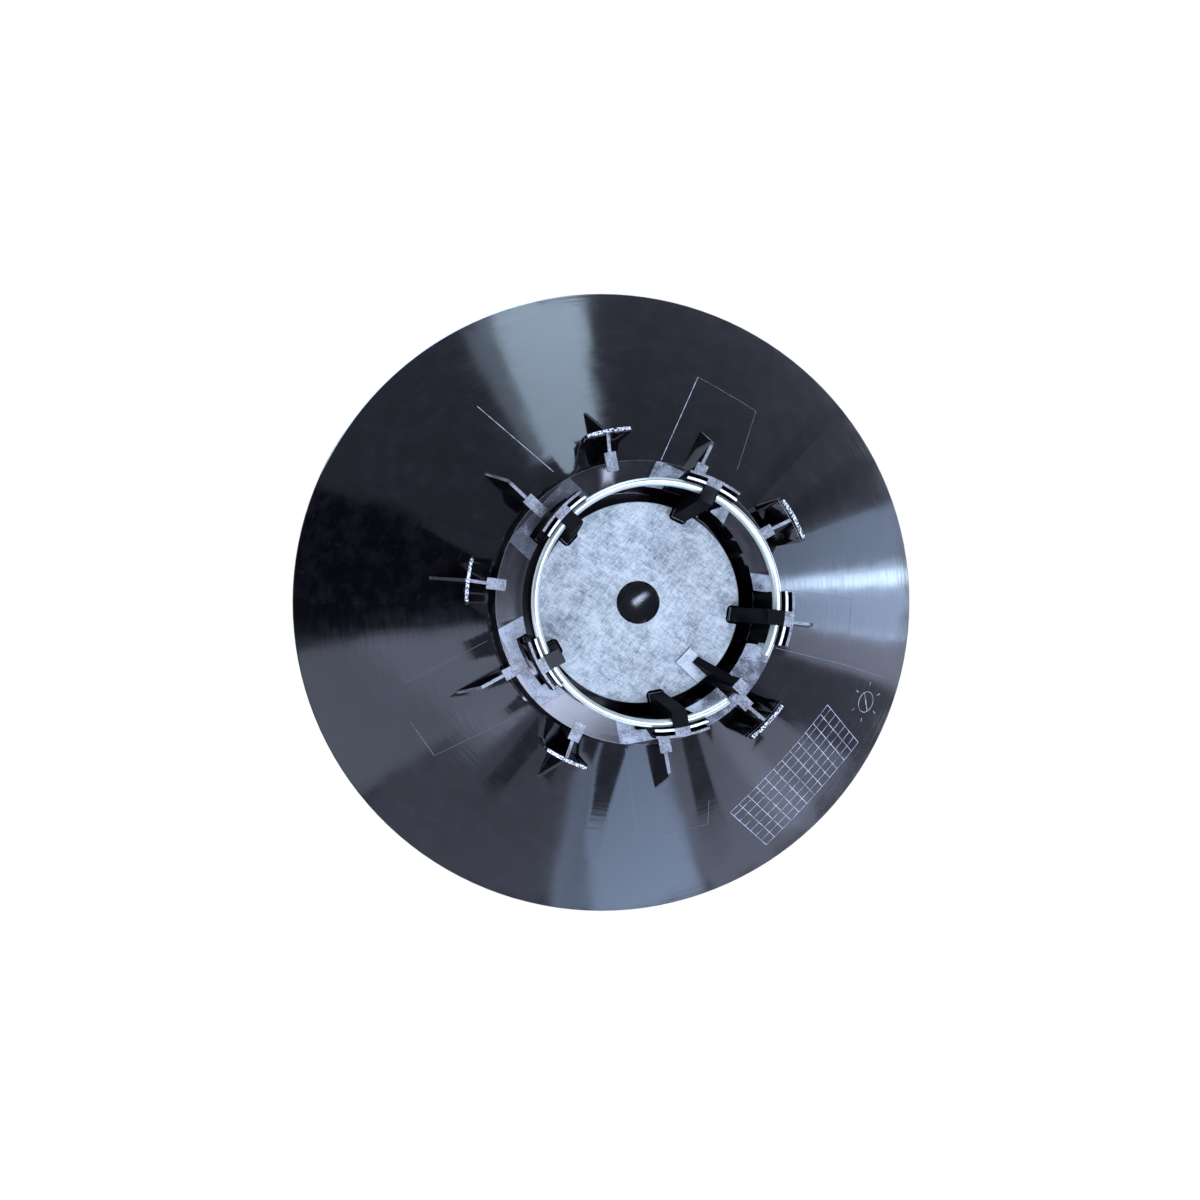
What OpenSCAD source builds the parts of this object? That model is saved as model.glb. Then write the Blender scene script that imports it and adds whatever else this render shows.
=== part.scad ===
// Wheel centre cap: a dished plastic moulding with snap clips round its hub, and the steel
// wire ring that spreads the clips.
// The cap lies on its front rim. The origin is the centre of the rim plane and +Z is the
// back of the cap, which faces the wheel.

/* [Dish] */
// Diameter of the front rim
rim_d = 200; // [194:1:212]
// Height of the rim's edge at its outermost circle
rim_edge_h = 1.2; // [1:0.1:1.8]
// Slope of the dish above the rim plane, in degrees
dish_angle = 23.5; // [21:0.5:26]
// Thickness of the moulded wall, square to its faces
wall = 2.5; // [2.2:0.1:2.8]

/* [Hub ring] */
// Diameter of the raised ring at its flat face
hub_ring_d = 74.6; // [73:0.2:76]
// Height of the ring above the dish at its foot
hub_ring_h = 6.8; // [6:0.1:8]
// How far the foot of the ring stands out past its face
hub_ring_draft = 1.5; // [0.8:0.1:2]
// Diameter of the bore inside the ring
hub_bore_d = 60.7; // [60.4:0.1:61.2]
// Width of the groove between the ring and the island
groove_w = 3.95; // [3.4:0.05:4.2]
// Depth of the groove below the ring's face
groove_deep = 8; // [7:0.2:9]

/* [Island] */
// Diameter of the round gate dimple at the centre
dimple_d = 11.2; // [9:0.2:13]
// Depth of the gate dimple
dimple_deep = 1.6; // [1.2:0.1:1.8]
// Width of the notches in the island's edge, one at each clip
notch_w = 4.8; // [4.4:0.1:5.6]
// Depth of the notches from the island's edge towards the centre
notch_in = 3.1; // [2.8:0.1:3.4]
// Depth of the notches below the island's face
notch_deep = 3; // [2.6:0.1:3.4]
// Rounding of the notches' inner corners
notch_round = 1.2; // [0.6:0.1:1.8]

/* [Snap clips] */
// Number of clips round the hub, with a stop between each two
clip_count = 5; // [4:1:5]
// Direction of the first clip, in degrees from +X
clip_start = 64.7; // [56:0.1:72]
// Width of each clip
clip_w = 12.9; // [11.6:0.1:13.4]
// Height of the clips above the ring's face
clip_h = 13.6; // [12.6:0.1:15]
// Thickness of the flexing arm below the barb
arm_t = 1.5; // [1.2:0.1:1.7]
// How far the barb stands out past the arm
barb_out = 1.2; // [0.8:0.1:1.4]
// Length of the barb's lead-in slope, down from its top
barb_lead = 3; // [2.4:0.1:3.6]
// Height of the whole barb, down from its top
barb_h = 6.4; // [5.6:0.1:7]
// Width of the two slots that lighten the head of each clip
pocket_t = 1; // [0.8:0.05:1.1]
// Depth of those slots
pocket_deep = 3.4; // [2.6:0.1:4]
// Thickness of the clip's inner skin beside the slots
inner_lip_t = 0.6; // [0.5:0.05:0.7]
// Width of the hook that holds the wire
hook_w = 3.6; // [3.2:0.1:4]
// Reach of the hook inwards past the wire's centre line
hook_reach = 2.8; // [2.4:0.1:3]
// Gap between a clip and the edges of its window in the ring
window_gap = 0.5; // [0.3:0.05:0.7]
// Depth of the windows' floors below the floor of the groove
window_step = 0.4; // [0.2:0.1:0.8]

/* [Wire ring] */
// Diameter of the spring wire
wire_d = 1.9; // [1.6:0.1:2]
// Diameter of the ring along the middle of the wire
wire_ring_d = 58; // [57.6:0.1:58.2]
// Height of the wire's middle above the ring's face
wire_z = 12; // [11.6:0.1:12.4]
// Angle that the gap between the wire's ends takes up
wire_gap_angle = 28; // [22:1:32]
// How far the ring sits turned from the middle of its gap at the key, in degrees
wire_turn = 3.3; // [-4:0.1:5]
// Clearance between the wire and the eye that it runs through
wire_fit = 0.06; // [0.04:0.01:0.12]
// Clearance between that eye and the arms' inner faces
arm_fit = 0.1; // [0.06:0.01:0.2]

/* [Stops] */
// Distance from the axis to the stop plates
stop_r = 45; // [44:0.1:48]
// Width of each stop plate
stop_w = 12.6; // [10:0.2:13]
// Height of the stop plates above the ring's face
stop_h = 2.4; // [1.6:0.1:4]
// Thickness of the stop plates and of the thin ribs
rib_t = 0.85; // [0.7:0.05:1.2]
// Size of the chamfers on the plates' top corners
stop_chamfer = 0.8; // [0.4:0.1:1.4]
// Distance from the axis to the outer foot of the stop's brace
brace_foot_r = 55.5; // [53:0.5:60]

/* [Pads and ribs] */
// Width of the square-edged pads on the ring
pad_w = 3; // [2.4:0.1:3.6]
// Height of the pads above the ring's face
pad_h = 0.15; // [0.1:0.05:0.3]
// Gap between a clip's window and the pad behind it
pad_gap = 0.4; // [0.3:0.1:0.8]
// Distance from the axis to the outer end of the pads
pad_out_r = 40; // [39.4:0.1:41]
// Distance from the axis to the inner end of the pads at the stops
pad_in_r = 34.9; // [34.4:0.1:35.4]
// Distance from the axis to where the plain ribs start to slope
rib_flat_r = 46.6; // [44:0.2:48]
// Distance from the axis to the foot of the plain ribs
rib_foot_r = 54; // [52:0.2:58]
// Drop of the plain ribs' top edge below the ring's face
rib_drop = 0.6; // [0.2:0.1:1.2]

/* [Key] */
// Width of the key post that stands in the wire's gap
key_post_w = 3; // [2.8:0.1:3.4]
// Width of the web that braces the post from the island
key_w = 2; // [1.8:0.1:2.4]
// Radial thickness of the key post
key_t = 2.9; // [2.4:0.1:3]
// Sideways offset of the key from the stop behind it
key_side = -0.7; // [-0.8:0.1:0.4]
// Distance from the axis to the foot of the key's web
key_foot_r = 20.6; // [19.6:0.1:21.6]
// Width of the slot in the ring behind the key
key_slot_w = 4; // [3.4:0.1:4.6]
// Distance from the axis to the end of that slot
key_slot_r = 34.4; // [33.6:0.1:34.6]
// Width of the L-shaped pad on the island beside the key
ell_w = 2.8; // [2.4:0.1:3.2]
// Gap between the L's outer arm and the key's web
ell_gap = 0.2; // [0.1:0.1:0.4]
// Length of the L's arm that runs outwards
ell_out = 7.8; // [7:0.1:8]
// Height of the L-shaped pad
ell_h = 0.5; // [0.3:0.1:0.8]

/* [Hidden] */
$fn = 128;
// Overlap that lets neighbouring solids of one moulding fuse
fuse = 0.6;
// Rounding of the rim's outer edge
rim_round = 0.5;
// Radial reach of a cutter that has to run past whatever it cuts
past = 20;

rim_r = rim_d / 2;
// Wall thickness of the dish measured upright
dish_drop = wall / cos(dish_angle);
hub_ring_r = hub_ring_d / 2;
ring_foot_r = hub_ring_r + hub_ring_draft;
hub_bore_r = hub_bore_d / 2;
island_r = hub_bore_r - groove_w;
// Height of the dish's back face at a distance from the axis
function dish_z(r) = rim_edge_h + (rim_r - r) * tan(dish_angle);
ring_z = dish_z(ring_foot_r) + hub_ring_h;
groove_z = ring_z - groove_deep;
hub_under_z = groove_z - wall;
window_z = groove_z - window_step;
root_z = window_z - fuse;
// Front recess inside the island and front channel behind the ring
recess_r = island_r - wall;
channel_in_r = hub_bore_r + wall;
channel_out_r = hub_ring_r + hub_ring_draft / 2 - wall;
rest_in_r = rim_r - (dish_drop - rim_edge_h) / tan(dish_angle);

clip_step = 360 / clip_count;
function clip_az(i) = clip_start + i * clip_step;
function stop_az(i) = clip_az(i) - clip_step / 2;
clip_top_z = ring_z + clip_h;
wire_r = wire_ring_d / 2;
wire_mid_z = ring_z + wire_z;
eye_r = wire_d / 2 + wire_fit;
arm_in_r = wire_r + eye_r + arm_fit;
arm_out_r = arm_in_r + arm_t;
barb_r = arm_out_r + barb_out;
barb_top_r = arm_in_r + inner_lip_t + pocket_t + inner_lip_t;
pocket_in_r = arm_in_r + inner_lip_t;
window_r = barb_r + window_gap;
hook_in_r = wire_r - hook_reach;
hook_out_r = arm_in_r + inner_lip_t / 2;
// The key stands behind the last stop, and the wire's gap lies over it
key_az = stop_az(clip_count - 1);
key_out_r = arm_in_r;
key_in_r = key_out_r - key_t;
key_top_z = wire_mid_z;
stop_top_z = ring_z + stop_h;

// Section of the one moulded wall: dish, ring, groove and island
module wall_section() {
    polygon([
        [0, ring_z],
        [island_r, ring_z],
        [island_r, groove_z],
        [hub_bore_r, groove_z],
        [hub_bore_r, ring_z],
        [hub_ring_r, ring_z],
        [ring_foot_r, dish_z(ring_foot_r)],
        [rim_r - rim_round, dish_z(rim_r - rim_round)],
        [rim_r, rim_edge_h - rim_round / 2],
        [rim_r, rim_round],
        [rim_r - rim_round, 0],
        [rest_in_r, 0],
        [ring_foot_r, dish_z(ring_foot_r) - dish_drop],
        [channel_out_r, dish_z(channel_out_r) - dish_drop],
        [channel_out_r, ring_z - wall],
        [channel_in_r, ring_z - wall],
        [channel_in_r, hub_under_z],
        [recess_r, hub_under_z],
        [recess_r, ring_z - wall],
        [0, ring_z - wall]
    ]);
}

module moulded_wall() {
    rotate_extrude() wall_section();
}

// A block that starts on the axis and runs out along +X
module spoke(width, length, low_z, high_z) {
    translate([0, -width / 2, low_z]) cube([length, width, high_z - low_z]);
}

// A thin upright web from points that give distance from the axis and height
module web(thickness, points) {
    rotate([90, 0, 0])
        translate([0, 0, -thickness / 2])
            linear_extrude(height = thickness) polygon(points);
}

// Flexing arm with its barb, open slots in its head and the hook over the wire
module clip_head_section() {
    polygon([
        [arm_in_r, root_z],
        [arm_out_r, root_z],
        [arm_out_r, clip_top_z - barb_h],
        [barb_r, clip_top_z - barb_lead],
        [barb_top_r, clip_top_z],
        [arm_in_r, clip_top_z]
    ]);
}

module clip_arms() {
    intersection() {
        rotate_extrude() clip_head_section();
        for (i = [0 : clip_count - 1])
            rotate([0, 0, clip_az(i)])
                spoke(clip_w, barb_r + past, root_z, clip_top_z);
    }
}

module clip_pockets() {
    intersection() {
        difference() {
            translate([0, 0, clip_top_z - pocket_deep])
                cylinder(r = pocket_in_r + pocket_t, h = pocket_deep + past);
            translate([0, 0, clip_top_z - pocket_deep - fuse])
                cylinder(r = pocket_in_r, h = pocket_deep + past + 2 * fuse);
        }
        for (i = [0 : clip_count - 1], side = [-1, 1])
            rotate([0, 0, clip_az(i)])
                pocket_block(side);
    }
}

module pocket_block(side) {
    block_w = (clip_w - hook_w) / 2 + fuse;
    low_y = side > 0 ? hook_w / 2 : -hook_w / 2 - block_w;
    translate([0, low_y, clip_top_z - pocket_deep])
        cube([barb_r + fuse, block_w, pocket_deep + past]);
}

module clip_hook() {
    low_z = ring_z - notch_deep + fuse;
    difference() {
        web(hook_w, [
            [hook_out_r, clip_top_z],
            [hook_in_r, clip_top_z],
            [hook_in_r - fuse, clip_top_z - wire_d],
            [island_r - notch_in + fuse, ring_z],
            [island_r - notch_in + fuse, low_z],
            [island_r + fuse, low_z],
            [hook_in_r + wire_d, root_z],
            [hook_out_r, root_z]
        ]);
        wire_eye();
    }
}

module wire_eye() {
    translate([0, 0, wire_mid_z])
        rotate_extrude() translate([wire_r, 0]) circle(r = eye_r, $fn = 48);
}

// Opening in the ring round each clip, down past the groove's floor
module clip_windows() {
    for (i = [0 : clip_count - 1])
        rotate([0, 0, clip_az(i)])
            intersection() {
                translate([0, 0, window_z]) cylinder(r = window_r, h = groove_deep + past);
                translate([island_r + fuse, 0, 0])
                    spoke(clip_w + 2 * window_gap, past, window_z, ring_z + past);
            }
}

module island_notches() {
    for (i = [0 : clip_count - 1])
        rotate([0, 0, clip_az(i)])
            translate([island_r - notch_in, 0, ring_z - notch_deep])
                linear_extrude(height = notch_deep + fuse) notch_outline();
}

module notch_outline() {
    hull() {
        for (side = [-1, 1])
            translate([notch_round, side * (notch_w / 2 - notch_round)])
                circle(r = notch_round, $fn = 32);
        translate([notch_in, -notch_w / 2]) square([fuse, notch_w]);
    }
}

// Blocks behind the notches that keep the front of the island closed
module notch_backs() {
    for (i = [0 : clip_count - 1])
        rotate([0, 0, clip_az(i)])
            translate([recess_r - notch_in, 0, 0])
                spoke(notch_w + 2 * wall, notch_in + fuse, hub_under_z, ring_z - fuse);
}

// Blocks that keep the front closed behind the windows and the slot in the ring
module window_backs() {
    high_z = ring_z - fuse;
    intersection() {
        difference() {
            translate([0, 0, hub_under_z]) cylinder(r = channel_out_r + fuse, h = high_z - hub_under_z);
            translate([0, 0, hub_under_z - fuse]) cylinder(r = hub_bore_r + fuse, h = past);
        }
        union() {
            for (i = [0 : clip_count - 1])
                rotate([0, 0, clip_az(i)])
                    spoke(clip_w + 2 * window_gap + 2 * wall, ring_foot_r, hub_under_z, high_z);
            rotate([0, 0, key_az]) spoke(key_slot_w + 2 * wall, ring_foot_r, hub_under_z, high_z);
        }
    }
}

module gate_boss() {
    translate([0, 0, ring_z - wall - dimple_deep])
        cylinder(r = dimple_d / 2, h = dimple_deep + fuse);
}

module gate_dimple() {
    // Radius of the ball that leaves a dimple of this width and depth
    ball_r = (dimple_d * dimple_d / 4 + dimple_deep * dimple_deep) / (2 * dimple_deep);
    translate([0, 0, ring_z - dimple_deep + ball_r]) rotate([90, 0, 0]) sphere(r = ball_r);
}

// Plate across the end of a stem, with a brace outside it
module stops() {
    half = rib_t / 2;
    plate_foot_z = dish_z(stop_r + rib_t) - wall / 2;
    intersection() {
        difference() {
            cylinder(r = stop_r + half, h = stop_top_z);
            translate([0, 0, -fuse]) cylinder(r = stop_r - half, h = stop_top_z + 2 * fuse);
        }
        for (i = [0 : clip_count - 1])
            rotate([0, 0, stop_az(i)])
                rotate([90, 0, 90])
                    linear_extrude(height = stop_r + past) polygon([
                        [-stop_w / 2, plate_foot_z],
                        [stop_w / 2, plate_foot_z],
                        [stop_w / 2, stop_top_z - stop_chamfer],
                        [stop_w / 2 - stop_chamfer, stop_top_z],
                        [stop_chamfer - stop_w / 2, stop_top_z],
                        [-stop_w / 2, stop_top_z - stop_chamfer]
                    ]);
    }
    for (i = [0 : clip_count - 1])
        rotate([0, 0, stop_az(i)]) {
            web(rib_t, [
                [hub_ring_r, ring_z],
                [pad_out_r, ring_z],
                [stop_r, stop_top_z - rib_t],
                [brace_foot_r, dish_z(brace_foot_r)],
                [brace_foot_r, dish_z(brace_foot_r) - wall / 2],
                [hub_ring_r, dish_z(hub_ring_r) - wall / 2]
            ]);
            pad(pad_in_r);
        }
}

module pad(start_r) {
    translate([start_r, -pad_w / 2, dish_z(pad_out_r) - wall / 2])
        cube([pad_out_r - start_r, pad_w, ring_z + pad_h - dish_z(pad_out_r) + wall / 2]);
}

module plain_ribs() {
    for (i = [0 : clip_count - 1])
        rotate([0, 0, clip_az(i)]) {
            web(rib_t, [
                [hub_ring_r, ring_z - rib_drop],
                [rib_flat_r, ring_z - rib_drop],
                [rib_foot_r, dish_z(rib_foot_r)],
                [rib_foot_r, dish_z(rib_foot_r) - wall / 2],
                [hub_ring_r, dish_z(hub_ring_r) - wall / 2]
            ]);
            pad(window_r + pad_gap);
        }
}

// Post in the wire's gap, braced from the island by a sloping web
module key() {
    rotate([0, 0, key_az]) translate([0, key_side, 0]) {
        web(key_post_w, [
            [key_out_r, key_top_z],
            [key_in_r, key_top_z],
            [key_in_r, root_z],
            [key_out_r, root_z]
        ]);
        web(key_w, [
            [key_in_r + fuse, key_top_z - fuse / 2],
            [key_in_r, key_top_z - fuse / 2],
            [key_foot_r, ring_z + ell_h / 2],
            [key_foot_r - fuse, ring_z + ell_h / 2],
            [key_foot_r - fuse, ring_z - fuse],
            [island_r - fuse, ring_z - fuse],
            [island_r - fuse, root_z + fuse / 2],
            [key_in_r + fuse, root_z + fuse / 2]
        ]);
    }
}

module key_slot() {
    rotate([0, 0, key_az])
        translate([island_r + fuse, 0, 0])
            spoke(key_slot_w, key_slot_r - island_r - fuse, window_z, ring_z + past);
}

module ell_pad() {
    rotate([0, 0, key_az])
        translate([key_foot_r - ell_w, key_side - key_w / 2 - ell_gap - ell_w, ring_z - fuse]) {
            cube([ell_w, ell_w + key_w + 2 * ell_gap, ell_h + fuse]);
            cube([ell_out, ell_w, ell_h + fuse]);
        }
}

module cap_body() {
    color([0.09, 0.09, 0.11])
        union() {
            difference() {
                union() {
                    moulded_wall();
                    notch_backs();
                    window_backs();
                    gate_boss();
                }
                clip_windows();
                island_notches();
                key_slot();
                gate_dimple();
            }
            difference() {
                clip_arms();
                clip_pockets();
            }
            for (i = [0 : clip_count - 1]) rotate([0, 0, clip_az(i)]) clip_hook();
            stops();
            plain_ribs();
            key();
            ell_pad();
        }
}

module retaining_ring() {
    color([0.85, 0.87, 0.88])
        rotate([0, 0, key_az + wire_turn + wire_gap_angle / 2])
            translate([0, 0, wire_mid_z])
                rotate_extrude(angle = 360 - wire_gap_angle)
                    translate([wire_r, 0]) circle(d = wire_d, $fn = 48);
}

cap_body();
retaining_ring();
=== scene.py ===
"""Looks of a dished plastic wheel centre cap, seen from the back, with the steel wire ring in its clips."""

import math

import bmesh
import bpy
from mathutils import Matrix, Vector


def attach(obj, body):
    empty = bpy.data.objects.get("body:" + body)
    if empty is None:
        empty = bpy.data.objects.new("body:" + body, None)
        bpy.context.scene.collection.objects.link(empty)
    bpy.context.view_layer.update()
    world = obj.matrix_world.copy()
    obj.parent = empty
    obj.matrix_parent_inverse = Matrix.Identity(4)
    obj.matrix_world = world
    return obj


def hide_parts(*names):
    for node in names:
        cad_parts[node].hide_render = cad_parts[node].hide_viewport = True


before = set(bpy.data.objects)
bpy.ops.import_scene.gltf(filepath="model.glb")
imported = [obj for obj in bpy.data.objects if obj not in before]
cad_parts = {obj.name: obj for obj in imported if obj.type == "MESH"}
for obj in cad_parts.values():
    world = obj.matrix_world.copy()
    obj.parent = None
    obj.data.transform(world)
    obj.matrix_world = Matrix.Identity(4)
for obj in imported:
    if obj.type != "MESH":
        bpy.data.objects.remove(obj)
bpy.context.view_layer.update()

# The moulded cap.
# One injection-moulded shell in black glass-filled plastic: dish, hub ring, island, clips, stops,
# ribs and key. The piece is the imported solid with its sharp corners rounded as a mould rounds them.

MM = 0.001
CORNER_ROUND = 0.11 * MM
SHARP_ANGLE = math.radians(28)
WELD = 0.002 * MM


def rounded_copy(node, name, radius):
    """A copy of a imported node's mesh, its sharp edges rounded and given the second material."""
    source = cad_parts[node].data
    mesh = bpy.data.meshes.new(name)
    work = bmesh.new()
    work.from_mesh(source)
    bmesh.ops.remove_doubles(work, verts=work.verts, dist=WELD)
    bmesh.ops.dissolve_limit(
        work, angle_limit=math.radians(0.4), verts=work.verts, edges=work.edges, delimit=set()
    )
    sharp = [e for e in work.edges if e.is_manifold and e.calc_face_angle(0.0) > SHARP_ANGLE]
    bmesh.ops.bevel(
        work,
        geom=sharp,
        offset=radius,
        offset_type="OFFSET",
        segments=2,
        profile=0.5,
        affect="EDGES",
        clamp_overlap=True,
        material=1,
    )
    bmesh.ops.triangulate(work, faces=[f for f in work.faces if len(f.verts) > 4])
    for face in work.faces:
        face.smooth = True
    work.to_mesh(mesh)
    work.free()
    piece = bpy.data.objects.new(name, mesh)
    bpy.context.scene.collection.objects.link(piece)
    return piece


moulding = rounded_copy("cap_body", "moulded_cap", CORNER_ROUND)
normals = moulding.modifiers.new("even_normals", "WEIGHTED_NORMAL")
normals.keep_sharp = True
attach(moulding, "root")
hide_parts("cap_body")


class Num:
    """A number socket of a tree, on which Python's operators build Math nodes."""

    def __init__(self, tree, socket):
        self.tree, self.socket = tree, socket

    def _do(self, operation, *others):
        return self.tree.maths(operation, self, *others)

    def __add__(self, other):
        return self._do("ADD", other)

    __radd__ = __add__

    def __mul__(self, other):
        return self._do("MULTIPLY", other)

    __rmul__ = __mul__

    def __sub__(self, other):
        return self._do("SUBTRACT", other)

    def __rsub__(self, other):
        return self.tree.maths("SUBTRACT", other, self)

    def __truediv__(self, other):
        return self._do("DIVIDE", other)

    def __mod__(self, other):
        return self._do("FLOORED_MODULO", other)

    def __pow__(self, other):
        return self._do("POWER", other)

    def __abs__(self):
        return self._do("ABSOLUTE")

    def above(self, edge, soft):
        """0 below the edge and 1 above it, over a band of the given softness."""
        return self.tree.clamp((self - edge) / soft + 0.5)

    def below(self, edge, soft):
        return self.tree.clamp((edge - self) / soft + 0.5)


class Tree:
    """A node tree whose nodes are added one at a time."""

    def __init__(self, nodes):
        self.tree = nodes

    def node(self, kind, settings=None, **sockets):
        """Adds a node: its settings first, then each socket's value or link."""
        made = self.tree.nodes.new(kind)
        for key, value in (settings or {}).items():
            setattr(made, key, value)
        for key, value in sockets.items():
            self.feed(made.inputs[key.replace("_", " ")], value)
        return made

    def feed(self, socket, value):
        if isinstance(value, Num):
            value = value.socket
        if isinstance(value, bpy.types.NodeSocket):
            self.tree.links.new(value, socket)
        else:
            socket.default_value = value

    def maths(self, operation, *values):
        made = self.tree.nodes.new("ShaderNodeMath")
        made.operation = operation
        for socket, value in zip(made.inputs, values):
            self.feed(socket, value)
        return Num(self, made.outputs[0])

    def clamp(self, value):
        made = self.node("ShaderNodeClamp", Value=value)
        return Num(self, made.outputs[0])

    def vector(self, x, y, z):
        return self.node("ShaderNodeCombineXYZ", X=x, Y=y, Z=z).outputs[0]

    def parts(self, vector):
        """The three numbers of a vector."""
        split = self.node("ShaderNodeSeparateXYZ", Vector=vector)
        return [Num(self, socket) for socket in split.outputs]


class Finish(Tree):
    """A material, with coordinates in millimetres."""

    def __init__(self, name):
        self.material = bpy.data.materials.new(name)
        self.material.use_nodes = True
        super().__init__(self.material.node_tree)
        self.tree.nodes.clear()
        self.output = self.tree.nodes.new("ShaderNodeOutputMaterial")
        place = self.tree.nodes.new("ShaderNodeTexCoord").outputs["Object"]
        self.place = self.node(
            "ShaderNodeVectorMath", {"operation": "SCALE"}, Vector=place, Scale=1 / MM
        ).outputs["Vector"]

    def axes(self):
        """X, Y and Z in millimetres."""
        return self.parts(self.place)

    def stretched(self, scale, turn):
        """The place in millimetres, turned about Z by some degrees and then scaled along each axis."""
        turned = self.node(
            "ShaderNodeVectorRotate",
            {"rotation_type": "Z_AXIS"},
            Vector=self.place,
            Angle=math.radians(turn),
        )
        made = self.node("ShaderNodeVectorMath", {"operation": "MULTIPLY"}, Vector=turned.outputs[0])
        made.inputs[1].default_value = scale
        return made.outputs["Vector"]

    def noise(self, scale, detail=3.0, rough=0.5, at=None, bend=0.0):
        made = self.node(
            "ShaderNodeTexNoise",
            Vector=at or self.place,
            Scale=scale,
            Detail=detail,
            Roughness=rough,
            Distortion=bend,
        )
        return Num(self, made.outputs[0])

    def mix(self, share, low, high):
        """A colour between two, by a share from 0 to 1."""
        made = self.node("ShaderNodeMix", {"data_type": "RGBA"})
        self.feed(made.inputs["Factor"], share)
        self.feed(made.inputs[6], low)
        self.feed(made.inputs[7], high)
        return made.outputs[2]

    def surface(self, bump=None, bump_depth=0.02, **sockets):
        """A Principled surface, with a bump in millimetres if given."""
        made = self.node("ShaderNodeBsdfPrincipled", **sockets)
        if bump is not None:
            relief = self.node("ShaderNodeBump", Height=bump, Distance=bump_depth * MM, Strength=1.0)
            self.feed(made.inputs["Normal"], relief.outputs["Normal"])
        return made.outputs[0]

    def blend(self, share, low, high):
        """One surface between two, by a share from 0 to 1."""
        made = self.node("ShaderNodeMixShader")
        self.feed(made.inputs[0], share)
        self.feed(made.inputs[1], low)
        self.feed(made.inputs[2], high)
        return made.outputs[0]

    def done(self, shader):
        self.tree.links.new(shader, self.output.inputs["Surface"])
        return self.material


# Places on the moulding that the finish changes at, in millimetres and degrees
RING_Z = 34.6
RING_BORE_R = 30.35
RING_OUT_R = 37.3
RING_FOOT_R = 38.85
ISLAND_R = 26.4
DIMPLE_R = 5.6
ELL_RISE = 0.5
PAD_OUT_R = 40.1
CLIP_TOP_Z = 48.2
CLIP_START = 64.7
CLIP_STEP = 72
CLIP_IN_R = 30.1
INNER_LIP_R = 30.72
BARB_R = 33.0
HOOK_HALF = 1.8
PLATEAU_HALF = 11.4
PLATEAU_OUT = 36.0
KEY_AZ = 316.7
KEY_Z = 46.6
KEY_SECTOR = 27
# The next two are the azimuths of the clips whose plateaus get painted shade (darker) and painted light (paler).
SHADE_PAINT_AZ = 136.7
LIGHT_PAINT_AZ = 208.7
STOP_TOP_Z = 37.0
STOP_R = 45.0
RIB_SIDE = 0.6
RIB_TOP_Z = 34.0
RIB_BEND_R = 46.6
RIB_FALL = 1.73
STEM_BEND_R = 40.0
STEM_RISE = 0.31
BRACE_TOP_Z = 36.16
BRACE_FALL = 1.487
# The azimuth of the sector where the rim's edge is painted pale, a painted highlight.
RIM_HIGHLIGHT_AZ = 124
DISH_EDGE_Z = 1.2
DISH_R = 100.0
DISH_SLOPE = math.tan(math.radians(23.5))

PLASTIC_BLACK = (0.002, 0.002, 0.003, 1)
PLASTIC_CLOUDY = (0.007, 0.006, 0.009, 1)
PLASTIC_SCUFFED = (0.13, 0.15, 0.19, 1)
ERODED_DARK = (0.03, 0.035, 0.045, 1)
ERODED_PALE = (0.30, 0.345, 0.40, 1)
RUBBED_DARK = (0.06, 0.066, 0.078, 1)
RUBBED_PALE = (0.30, 0.33, 0.375, 1)
# Near white, used for painted highlights on the lips, the rim and the island's edge, and on the plates' tops partly
# for wear.
HIGHLIGHT_AND_WEAR_PALE = (0.75, 0.8, 0.88, 1)
ISLAND_DARK = (0.122, 0.149, 0.176, 1)
ISLAND_PALE = (0.442, 0.50, 0.52, 1)


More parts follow.
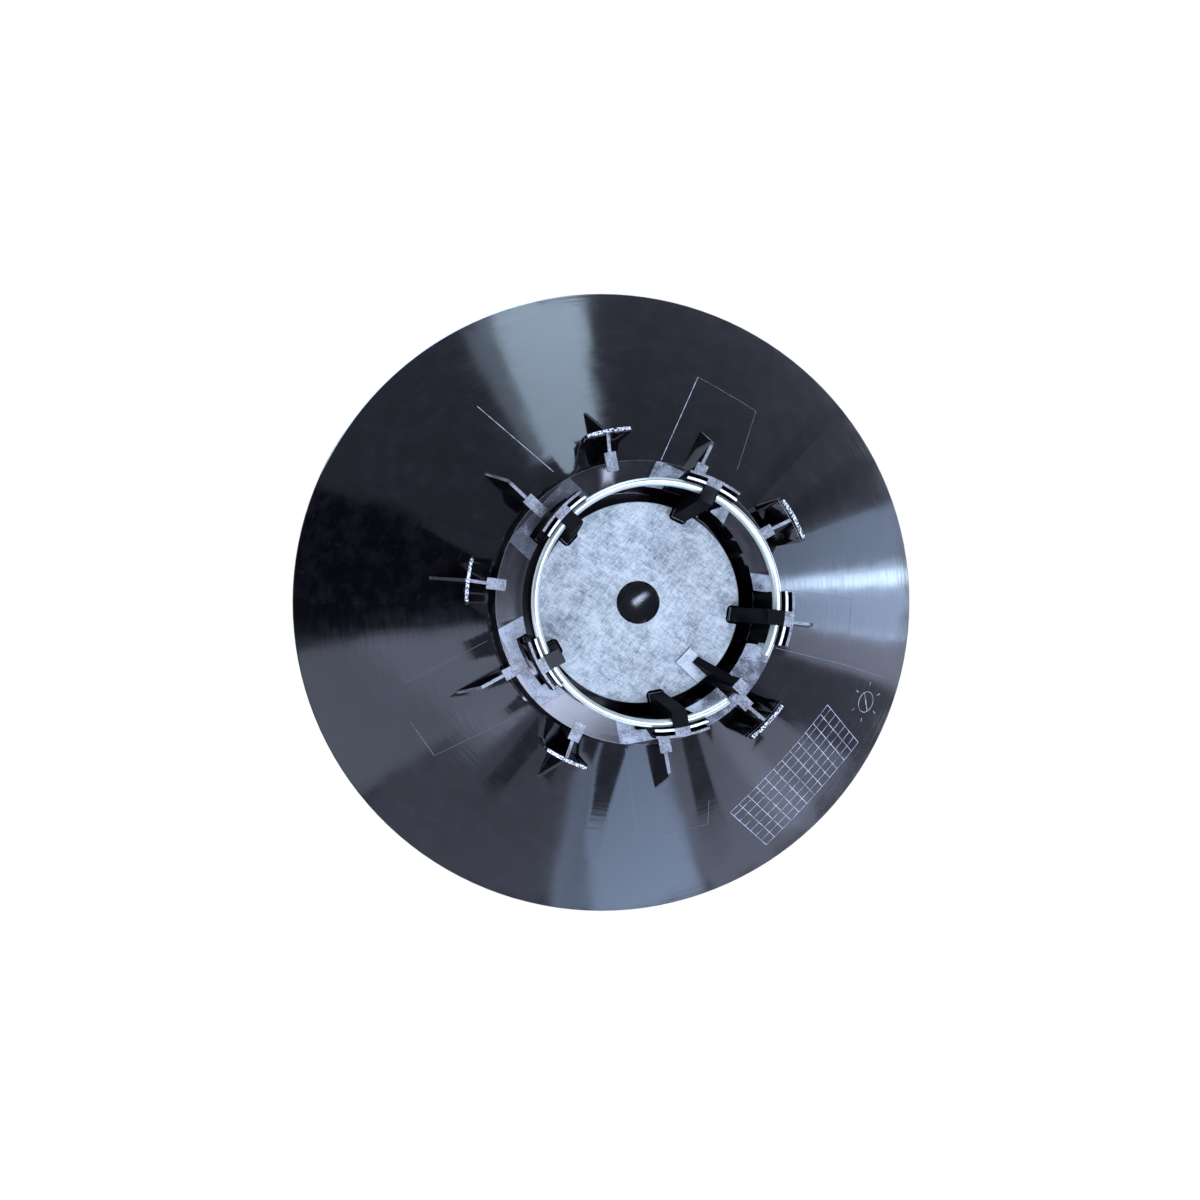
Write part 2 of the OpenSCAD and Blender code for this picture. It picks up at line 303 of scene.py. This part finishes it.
def moulded_plastic():
    """Glossy black plastic, spark-eroded on the island and round the clips, rubbed pale on what stands proud, with
    painted shade, painted light and painted highlights in places.
    """
    f = Finish("black_moulding")
    x, y, z = f.axes()
    r = f.maths("SQRT", x * x + y * y)
    turn = f.maths("ARCTAN2", y, x)
    step = math.radians(CLIP_STEP)
    local = (turn - math.radians(CLIP_START) + step / 2) % step - step / 2
    along = r * f.maths("COSINE", local)
    across = r * f.maths("SINE", local)

    def sector(azimuth, half, soft):
        """1 within some degrees of an azimuth, over an edge of the given softness."""
        away = abs((turn - math.radians(azimuth) + math.pi) % math.tau - math.pi)
        return away.below(math.radians(half), math.radians(soft))

    at_ring = z.above(RING_Z - 0.06, 0.04) * z.below(RING_Z + 0.06, 0.04)
    dimple = z.above(RING_Z - 2, 0.5) * r.below(DIMPLE_R, 0.2)
    at_ell = z.above(RING_Z + ELL_RISE - 0.1, 0.05) * z.below(RING_Z + ELL_RISE + 0.1, 0.04)
    island = (at_ring + at_ell) * r.below(ISLAND_R - 0.15, 0.2) * r.above(DIMPLE_R + 0.1, 0.2)
    beside_clip = abs(across).below(PLATEAU_HALF, 0.3) * along.below(PLATEAU_OUT, 0.2)
    beside_key = sector(KEY_AZ, KEY_SECTOR, 1)
    eroded = at_ring * r.above(RING_BORE_R - 0.5, 0.5) * f.clamp(beside_clip + beside_key)
    pads = z.above(RING_Z + 0.09, 0.04) * z.below(RING_Z + ELL_RISE + 0.1, 0.04)
    pads = pads * r.below(PAD_OUT_R, 0.1) * r.above(31, 0.5)
    heads = z.above(CLIP_TOP_Z - 0.12, 0.05) * r.above(CLIP_IN_R, 0.1)
    key_top = z.above(KEY_Z - 0.1, 0.05) * z.below(KEY_Z + 0.1, 0.05) * sector(KEY_AZ, 6, 1)
    plain_top = f.maths("MINIMUM", RIB_TOP_Z, RIB_TOP_Z - (r - RIB_BEND_R) * RIB_FALL)
    stem_top = RING_Z + f.maths("MAXIMUM", (r - STEM_BEND_R) * STEM_RISE, 0)
    stem_top = f.maths("MINIMUM", stem_top, BRACE_TOP_Z - (r - STOP_R) * BRACE_FALL)
    plain = abs(across).below(RIB_SIDE, 0.05)
    rib_top = plain_top * plain + stem_top * (1 - plain)
    dish_z = DISH_EDGE_Z + (DISH_R - r) * DISH_SLOPE
    rib_tops = z.above(rib_top - 0.14, 0.05) * z.below(rib_top + 0.14, 0.05) * r.above(RING_OUT_R, 0.2)
    rib_tops = rib_tops * (z - dish_z).above(0.5, 0.2) * (1 - r.above(STOP_R + 0.6, 0.5) * 0.75)
    plate_tops = z.above(STOP_TOP_Z - 0.12, 0.05) * abs(r - STOP_R).below(1, 0.1)
    # Painted highlight: the inner lips of the clips' heads are painted near white.
    inner_lip_highlight = heads * r.below(INNER_LIP_R, 0.05) * abs(across).above(HOOK_HALF + 0.1, 0.1)
    rubbed = f.clamp(pads + heads + key_top + rib_tops)
    ring_wall = r.above(RING_OUT_R + 0.1, 0.1) * r.below(RING_FOOT_R, 0.1) * z.below(RING_Z - 0.2, 0.1)
    ring_wall = ring_wall * (z - dish_z).above(0.5, 0.2) * (1 - rib_tops)
    # Painted highlight: the rim's outer edge is painted pale in one sector.
    rim_highlight = r.above(DISH_R - 0.5, 0.1) * sector(RIM_HIGHLIGHT_AZ, 26, 11)
    brace = r.above(STOP_R + 0.6, 0.2) * (z - dish_z).above(0.5, 0.2) * (1 - plain)
    # Painted shade: a darker, duller copy of the plastic is blended in on the clips' walls and pockets, in the
    # groove round the island, on the ring's outer wall, on the braces and in the dimple away from its centre.
    painted_shade = z.above(RING_Z + 0.7, 0.1) * r.below(BARB_R, 0.1)
    painted_shade = painted_shade + z.below(RING_Z - 0.2, 0.1) * r.above(DIMPLE_R + 1, 0.5) * r.below(CLIP_IN_R, 0.1)
    painted_shade = f.clamp(painted_shade + ring_wall + brace) * (1 - rubbed) * 0.9 + dimple * r.above(2.5, 2) * 0.5

    grain = f.noise(2.6, 2.0, 0.6)
    mottle = f.noise(0.16, 4.0, 0.6)
    patches = f.noise(0.35, 3.0, 0.55)
    brushed = f.noise(1.0, 3.0, 0.6, f.stretched((0.3, 1.1, 1.0), 35), 1.4)
    brushed = brushed * 0.5 + f.noise(1.0, 3.0, 0.6, f.stretched((0.35, 1.2, 1.0), -50), 1.4) * 0.5
    scratch_a = f.noise(1.0, 1.0, 0.5, f.stretched((0.018, 2.4, 1.0), 22))
    scratch_b = f.noise(1.0, 1.0, 0.5, f.stretched((0.015, 2.0, 1.0), -63))
    scuffs = f.clamp(scratch_a.above(0.76, 0.08) + scratch_b.above(0.76, 0.08)) * patches.above(0.52, 0.2)

    island_share = f.clamp((mottle - 0.4) * 1.8 + (grain - 0.5) * 0.4 + (brushed - 0.5) * 3.2 + 0.4 + at_ell * 0.35)
    island_colour = f.mix(island_share, ISLAND_DARK, ISLAND_PALE)
    # Painted shade and painted light: the plateau round the clip at 136.7 degrees is painted darker and the one
    # round the clip at 208.7 degrees paler; beside the key, away from the clips, it is also darker.
    sector_shade_and_light = sector(SHADE_PAINT_AZ, 24, 6) * 0.75 + beside_key * (1 - beside_clip) * 0.35
    sector_shade_and_light = sector_shade_and_light - sector(LIGHT_PAINT_AZ, 24, 6) * 0.3
    eroded_share = f.clamp((grain - 0.45) * 2.2 + (patches - 0.5) * 2.4 + 0.45 - sector_shade_and_light)
    eroded_colour = f.mix(eroded_share, ERODED_DARK, ERODED_PALE)
    rubbed_share = f.clamp((grain - 0.45) * 2.6 + (patches - 0.5) * 1.6 + 0.4)
    rubbed_colour = f.mix(inner_lip_highlight, f.mix(rubbed_share, RUBBED_DARK, RUBBED_PALE), HIGHLIGHT_AND_WEAR_PALE)
    colour = f.mix(f.clamp((mottle - 0.45) * 3), PLASTIC_BLACK, PLASTIC_CLOUDY)
    colour = f.mix(scuffs * 0.12, colour, PLASTIC_SCUFFED)
    colour = f.mix(eroded, colour, eroded_colour)
    colour = f.mix(rubbed, colour, rubbed_colour)
    # Pale patches on the plates' tops are partly wear and partly painted highlight; the rim's pale sector is a
    # painted highlight.
    colour = f.mix(f.clamp(plate_tops * grain.above(0.5, 0.12) + rim_highlight), colour, HIGHLIGHT_AND_WEAR_PALE)
    colour = f.mix(island, colour, island_colour)

    lathe = f.noise(1.0, 2.0, 0.5, f.node("ShaderNodeCombineXYZ", X=r * 3.1).outputs[0])
    fine = f.noise(1.0, 1.0, 0.5, f.node("ShaderNodeCombineXYZ", X=r * 9.0).outputs[0])
    arcs = f.noise(1.0, 3.0, 0.6, f.node("ShaderNodeCombineXYZ", X=r * 0.9, Y=turn * 5.0).outputs[0])
    waves = f.noise(0.06, 1.0, 0.5)
    matt = f.clamp(island + eroded + rubbed)
    on_dish = r.above(RING_FOOT_R, 1)
    relief = lathe * 0.16 + fine * 0.05 + (arcs * 0.9 + waves * 3.5) * on_dish
    relief = relief * (1 - matt) + (grain + brushed * island) * matt + dimple * grain
    gloss = f.surface(
        bump=relief,
        bump_depth=0.03,
        Base_Color=colour,
        Roughness=0.14 + matt * 0.3 + island * 0.15 + at_ring * 0.05 + (mottle - 0.5) * 0.1 + (arcs - 0.5) * 0.12,
        IOR=1.5,
    )
    # Painted shade: the darker, duller surface that the painted shade mask blends in.
    painted_shade_surface = f.surface(Base_Color=PLASTIC_BLACK, Roughness=0.6, IOR=1.13)
    return f.done(f.blend(painted_shade, gloss, painted_shade_surface))


# Grey edges and ridges and pale ridge crests: painted highlights, on sharp edges partly also wear.
EDGE_GREY = (0.075, 0.088, 0.115, 1)
RIDGE_HIGHLIGHT_PALE = (0.52, 0.58, 0.70, 1)


def edge_wear_and_highlight():
    """The same plastic painted grey on its sharp edges, partly wear and partly painted highlight, and with a
    painted highlight round the island.
    """
    f = Finish("edge_wear_and_highlight")
    x, y, z = f.axes()
    r = f.maths("SQRT", x * x + y * y)
    # Painted highlight round the island's edge; the plates' top edges and the ring's outer edge are painted paler,
    # partly wear and partly painted highlight.
    island_edge_highlight = r.below(ISLAND_R + 0.2, 0.1) * z.above(RING_Z - 0.4, 0.2) * z.below(RING_Z + 0.7, 0.1)
    on_plate = z.above(STOP_TOP_Z - 0.3, 0.1) * r.above(STOP_R, 0.1) * f.noise(2.6, 2.0, 0.6).above(0.42, 0.1)
    ring_edge = z.above(RING_Z - 0.3, 0.1) * abs(r - RING_OUT_R).below(0.2, 0.1) * 0.35
    tone = f.mix(f.clamp(island_edge_highlight + on_plate + ring_edge), EDGE_GREY, HIGHLIGHT_AND_WEAR_PALE)
    return f.done(f.surface(Base_Color=tone, Roughness=0.22, IOR=1.5))


def ridge_highlight_paint():
    """The same plastic on the crests of the moulded marks, painted pale as a painted highlight."""
    f = Finish("ridge_highlight_paint")
    tone = f.mix(f.noise(0.4, 3.0, 0.6).above(0.45, 0.3), EDGE_GREY, RIDGE_HIGHLIGHT_PALE)
    return f.done(f.surface(Base_Color=tone, Roughness=0.35, IOR=1.5))


edges_finish = edge_wear_and_highlight()
moulding.data.materials.clear()
moulding.data.materials.append(moulded_plastic())
moulding.data.materials.append(edges_finish)

# The moulded marks.
# Hair-thin raised lines that the mould's inserts leave on the dish: outlines beside the clips, a date
# grid and a small dial. The grid's cells and the dial's face are bare.

RIDGE_SINK = 0.07
RIDGE_STEP = 4.0
RIDGE_SIZES = ("Width", "Height", "Sink", "Step", "Dish Radius", "Dish Edge", "Dish Slope")
ridge_highlight_finish = ridge_highlight_paint()


def ridge_nodes():
    """Sweeps a three-sided section along flat lines and lays it on the dish, sizes in metres."""
    group = bpy.data.node_groups.new("ridges_on_dish", "GeometryNodeTree")
    group.interface.new_socket("Lines", in_out="INPUT", socket_type="NodeSocketGeometry")
    for name in RIDGE_SIZES:
        group.interface.new_socket(name, in_out="INPUT", socket_type="NodeSocketFloat")
    group.interface.new_socket("Finish", in_out="INPUT", socket_type="NodeSocketMaterial")
    group.interface.new_socket("Ridges", in_out="OUTPUT", socket_type="NodeSocketGeometry")
    g = Tree(group)
    given = g.node("NodeGroupInput").outputs
    width, height, sink, step, radius, edge, slope = [Num(g, given[name]) for name in RIDGE_SIZES]

    length = Num(g, g.node("GeometryNodeSplineLength").outputs["Length"])
    line = g.node("GeometryNodeMeshToCurve", Mesh=given["Lines"]).outputs[0]
    points = g.maths("MAXIMUM", length / step + 1.5, 2)
    line = g.node("GeometryNodeResampleCurve", Curve=line, Count=points).outputs[0]

    deep = (height + sink) / 1.5
    section = g.node("GeometryNodeCurvePrimitiveCircle", Resolution=3, Radius=1.0).outputs[0]
    section = g.node(
        "GeometryNodeTransform",
        Geometry=section,
        Translation=g.vector(0, deep - height, 0),
        Rotation=(0, 0, -math.pi / 2),
        Scale=g.vector(deep, width / math.sqrt(3), 1),
    ).outputs[0]
    swept = g.node(
        "GeometryNodeCurveToMesh", Curve=line, Profile_Curve=section, Fill_Caps=True
    ).outputs[0]

    x, y, z = g.parts(g.node("GeometryNodeInputPosition").outputs[0])
    lift = edge + (radius - g.maths("SQRT", x * x + y * y)) * slope
    laid = g.node("GeometryNodeSetPosition", Geometry=swept, Offset=g.vector(0, 0, lift))
    whole = g.node("GeometryNodeRealizeInstances", Geometry=laid.outputs[0])
    dressed = g.node(
        "GeometryNodeSetMaterial", Geometry=whole.outputs[0], Material=given["Finish"]
    )
    g.node("NodeGroupOutput", Ridges=dressed.outputs[0])
    return group


RIDGE_NODES = ridge_nodes()


def ridges(name, lines, width, height, finish=ridge_highlight_finish):
    """One piece of ridges along the given lines, each line a run of places in millimetres."""
    runs = [run for line in lines for run in zip(line, line[1:])]
    places = [(x * MM, y * MM, 0) for run in runs for x, y in run]
    flat = bpy.data.meshes.new(name + "_lines")
    flat.from_pydata(places, [(2 * i, 2 * i + 1) for i in range(len(runs))], [])
    piece = bpy.data.objects.new(name, flat)
    bpy.context.scene.collection.objects.link(piece)
    sizes = (width * MM, height * MM, RIDGE_SINK * MM, RIDGE_STEP * MM)
    sizes += (DISH_R * MM, DISH_EDGE_Z * MM, DISH_SLOPE)
    given = dict(zip(RIDGE_SIZES, sizes), Finish=finish)
    sweep = piece.modifiers.new("ridges_on_dish", "NODES")
    sweep.node_group = RIDGE_NODES
    for item in RIDGE_NODES.interface.items_tree:
        if item.name in given:
            sweep[item.identifier] = given[item.name]
    ready = piece.evaluated_get(bpy.context.evaluated_depsgraph_get())
    mesh = bpy.data.meshes.new_from_object(ready)
    piece.modifiers.remove(sweep)
    piece.data = mesh
    mesh.name = name
    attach(piece, "root")


BRIGHT_LINES = [[(9.0, 39.2), (25.8, 68.0)], [(-40.9, 59.1), (-20.5, 36.1)]]
FAINT_LINES = [
    [(25.8, 68.0), (43.1, 57.6), (32.1, 37.5)],
    [(-0.9, -40.0), (7.6, -71.4), (28.8, -66.8), (27.3, -58.2)],
    [(44.7, 3.5), (71.6, 1.1), (70.8, -17.3)],
    [(41.1, -12.6), (68.7, -18.5), (89.1, -24.0)],
    [(-38.9, -10.6), (-62.4, -23.9)],
    [(-28.4, -30.3), (-53.8, -46.0), (-61.0, -35.8)],
]
# Painted highlight: the bright lines, the grid and the dial take the pale crest finish, and the faint lines the
# grey edge finish.
ridges("bright_lines", BRIGHT_LINES, 0.32, 0.08)
ridges("faint_lines", FAINT_LINES, 0.3, 0.06, edges_finish)

GRID_CORNER = (64.5, -30.8)
GRID_OUT = (16.0, -13.6)
GRID_ALONG = (-29.0, -32.6)
GRID_COLUMNS = [i / 12 for i in range(13)]
GRID_ROWS = [0.0, 0.1, 0.25, 0.4, 0.55, 0.7, 0.85, 1.0]


def in_grid(out, along):
    x = GRID_CORNER[0] + GRID_OUT[0] * out + GRID_ALONG[0] * along
    y = GRID_CORNER[1] + GRID_OUT[1] * out + GRID_ALONG[1] * along
    return x, y


grid_lines = [[in_grid(0, along), in_grid(1, along)] for along in GRID_COLUMNS]
grid_lines += [[in_grid(out, 0), in_grid(out, 1)] for out in GRID_ROWS]
ridges("date_grid", grid_lines, 0.3, 0.07)

DIAL_PLACE = (81.3, -31.2)
DIAL_R = 3.3
DIAL_TICKS = (5.2, 6.4)


def round_dial(radius, turn):
    angle = math.radians(turn)
    return DIAL_PLACE[0] + radius * math.cos(angle), DIAL_PLACE[1] + radius * math.sin(angle)


dial_lines = [[round_dial(DIAL_R, 15 * i) for i in range(25)]]
dial_lines.append([round_dial(DIAL_R, 110), round_dial(DIAL_R, 290)])
for tick in range(6):
    dial_lines.append([round_dial(radius, 60 * tick + 20) for radius in DIAL_TICKS])
ridges("date_dial", dial_lines, 0.36, 0.08)

# The wire ring.
# Bright drawn spring steel, 1.9 mm thick, cut and bent to an open ring that runs through the
# clips' hooks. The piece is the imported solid, merged so that it shades smoothly round the wire.

WIRE_EDGE = 0.06 * MM
WIRE_LINE_R = 29.3
STEEL_DULL = (0.42, 0.475, 0.45, 1)
STEEL_BRIGHT = (0.78, 0.85, 0.79, 1)

wire = rounded_copy("retaining_ring", "wire_ring", WIRE_EDGE)
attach(wire, "root")
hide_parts("retaining_ring")


def drawn_steel():
    """Satin steel with faint lines that follow the ring."""
    f = Finish("spring_wire")
    x, y, z = f.axes()
    r = f.maths("SQRT", x * x + y * y)
    lines = f.noise(1.0, 2.0, 0.6, f.node("ShaderNodeCombineXYZ", X=r * 4.0, Y=z * 4.0).outputs[0])
    smears = f.noise(0.25, 3.0, 0.5)
    # A thin darker line along the wire at a fixed radius.
    wire_dark_line = abs(r - WIRE_LINE_R).below(0.06, 0.06)
    tone = f.mix(f.clamp(lines * 0.6 + smears * 0.6 - wire_dark_line * 1.2), STEEL_DULL, STEEL_BRIGHT)
    return f.done(f.surface(Base_Color=tone, Roughness=0.26 + smears * 0.1, Metallic=0.75))


wire.data.materials.clear()
wire.data.materials.append(drawn_steel())
wire.data.materials.append(wire.data.materials[0])

# The white table and the light.
# A white sheet that the camera sees as paper white, soft boxes round the dish that its sloping
# wall mirrors as bright wedges, and one soft box above. None of them is part of the cap.

TABLE_HALF = 3.0
TABLE_DROP = 0.0005
SEEN_WHITE = 0.9


def white_table():
    mesh = bpy.data.meshes.new("table")
    half = TABLE_HALF
    corners = [(-half, -half), (half, -half), (half, half), (-half, half)]
    mesh.from_pydata([(a, b, -TABLE_DROP) for a, b in corners], [], [(0, 1, 2, 3)])
    table = bpy.data.objects.new("table", mesh)
    bpy.context.scene.collection.objects.link(table)
    f = Finish("table_white")
    path = f.node("ShaderNodeLightPath")
    paper = f.node("ShaderNodeBsdfDiffuse", Color=(0.8, 0.8, 0.8, 1))
    glow = f.node("ShaderNodeEmission", Color=(1, 1, 1, 1), Strength=1.0)
    seen = Num(f, path.outputs["Is Camera Ray"]) * SEEN_WHITE
    mesh.materials.append(f.done(f.blend(seen, paper.outputs[0], glow.outputs[0])))


white_table()

ROOM_LIGHT = (0.45, 0.45, 0.45, 1)
ROOM_MIRRORED = (0.31, 0.34, 0.46, 1)


def white_room():
    """A world that is white to the camera and dimmer as a light."""
    world = bpy.data.worlds.new("room")
    world.use_nodes = True
    bpy.context.scene.world = world
    tree = world.node_tree
    tree.nodes.clear()
    path = tree.nodes.new("ShaderNodeLightPath")
    mirrored = tree.nodes.new("ShaderNodeMath")
    mirrored.operation = "MAXIMUM"
    tree.links.new(path.outputs["Is Glossy Ray"], mirrored.inputs[0])
    tree.links.new(path.outputs["Is Transmission Ray"], mirrored.inputs[1])
    light = tree.nodes.new("ShaderNodeMix")
    light.data_type = "RGBA"
    light.inputs[6].default_value = ROOM_LIGHT
    light.inputs[7].default_value = ROOM_MIRRORED
    tree.links.new(mirrored.outputs[0], light.inputs["Factor"])
    seen = tree.nodes.new("ShaderNodeMix")
    seen.data_type = "RGBA"
    seen.inputs[7].default_value = (1, 1, 1, 1)
    tree.links.new(path.outputs["Is Camera Ray"], seen.inputs["Factor"])
    tree.links.new(light.outputs[2], seen.inputs[6])
    back = tree.nodes.new("ShaderNodeBackground")
    tree.links.new(seen.outputs[2], back.inputs["Color"])
    output = tree.nodes.new("ShaderNodeOutputWorld")
    tree.links.new(back.outputs[0], output.inputs["Surface"])


white_room()

LAMP_FAR = 0.75
HUB_HEIGHT = 0.03


def direction(azimuth, elevation):
    a, e = math.radians(azimuth), math.radians(elevation)
    return Vector((math.cos(a) * math.cos(e), math.sin(a) * math.cos(e), math.sin(e)))


def soft_box(name, azimuth, low, high, width, radiance, colour=(1, 1, 1)):
    """An area lamp that fills a window of directions, seen from the hub."""
    way = direction(azimuth, (low + high) / 2)
    lamp = bpy.data.lights.new(name, "AREA")
    lamp.shape = "RECTANGLE"
    lamp.size = 2 * LAMP_FAR * math.tan(math.radians(width / 2))
    lamp.size_y = 2 * LAMP_FAR * math.tan(math.radians((high - low) / 2))
    lamp.energy = radiance * math.pi * lamp.size * lamp.size_y
    lamp.color = colour
    box = bpy.data.objects.new(name, lamp)
    box.location = way * LAMP_FAR + Vector((0, 0, HUB_HEIGHT))
    box.rotation_mode = "QUATERNION"
    box.rotation_quaternion = (-way).to_track_quat("-Z", "Y")
    box.visible_camera = False
    bpy.context.scene.collection.objects.link(box)


SKY_BLUE = (0.60, 0.785, 1.0)
DEEP_BLUE = (0.50, 0.67, 1.0)
WALL_BLUE = (0.66, 0.74, 1.0)
soft_box("window_top", 89.5, 8, 38, 18, 7.2, SKY_BLUE)
soft_box("window_top_side", 102, 12, 38, 6, 2.0, SKY_BLUE)
soft_box("window_right", 0.5, -2, 13, 13, 4.5, DEEP_BLUE)
soft_box("streak_right", 4, -2, 12, 2.5, 11.0, SKY_BLUE)
soft_box("corner_right", 11.5, -2, 14, 8, 2.3, DEEP_BLUE)
soft_box("wall_right", -9, -2, 13, 8, 1.8, WALL_BLUE)
soft_box("window_bottom", -69, 4, 30, 20, 4.4, DEEP_BLUE)
soft_box("window_bottom_side", -83, 6, 32, 8, 2.3, DEEP_BLUE)
soft_box("wall_bottom", -42, 2, 22, 32, 1.4, WALL_BLUE)
soft_box("window_low", -39, 2, 22, 6, 0.9, WALL_BLUE)
soft_box("wall_low", -107, 10, 38, 44, 0.7, WALL_BLUE)
soft_box("wall_left_low", -150, 14, 33, 34, 1.9, WALL_BLUE)
soft_box("wall_left_high", -144, 33, 48, 46, 2.9, WALL_BLUE)
soft_box("ceiling", -52, 70, 83, 44, 20.5, WALL_BLUE)
soft_box("ceiling_soft", -25, 78, 86, 30, 1.0, WALL_BLUE)

FLAG_HALF = (0.23, 0.21)


def black_flag():
    """A dark card that only reflections see, for the dish's black wedge."""
    mesh = bpy.data.meshes.new("flag")
    half_x, half_y = FLAG_HALF
    corners = [(-half_x, -half_y), (half_x, -half_y), (half_x, half_y), (-half_x, half_y)]
    way = direction(170, 32)
    turn = (-way).to_track_quat("-Z", "Y")
    place = way * LAMP_FAR + Vector((0, 0, HUB_HEIGHT))
    mesh.from_pydata([turn @ Vector((a, b, 0)) + place for a, b in corners], [], [(0, 1, 2, 3)])
    flag = bpy.data.objects.new("flag", mesh)
    bpy.context.scene.collection.objects.link(flag)
    flag.visible_camera = False
    flag.visible_diffuse = False
    flag.visible_shadow = False
    f = Finish("flag_black")
    dark = f.node("ShaderNodeEmission", Color=(0.0, 0.0, 0.0, 1), Strength=0.0)
    mesh.materials.append(f.done(dark.outputs[0]))


black_flag()

# The camera.
# It hangs close over the left half of the cap and looks straight down, as in the photograph.

CAMERA_LEFT = 0.0505
CAMERA_HIGH = 0.176
LENS = 16.2
SHIFT_RIGHT = 0.129
SHIFT_UP = 0.002

camera = bpy.data.cameras.new("camera")
camera.lens = LENS
camera.sensor_width = 36.0
camera.shift_x = SHIFT_RIGHT
camera.shift_y = SHIFT_UP
camera.clip_start = 0.005
camera.clip_end = 20.0
eye = bpy.data.objects.new("camera", camera)
eye.location = (-CAMERA_LEFT, 0.0, CAMERA_HIGH)
bpy.context.scene.collection.objects.link(eye)
bpy.context.scene.camera = eye
bpy.context.scene.view_settings.view_transform = "Standard"

bpy.context.view_layer.update()
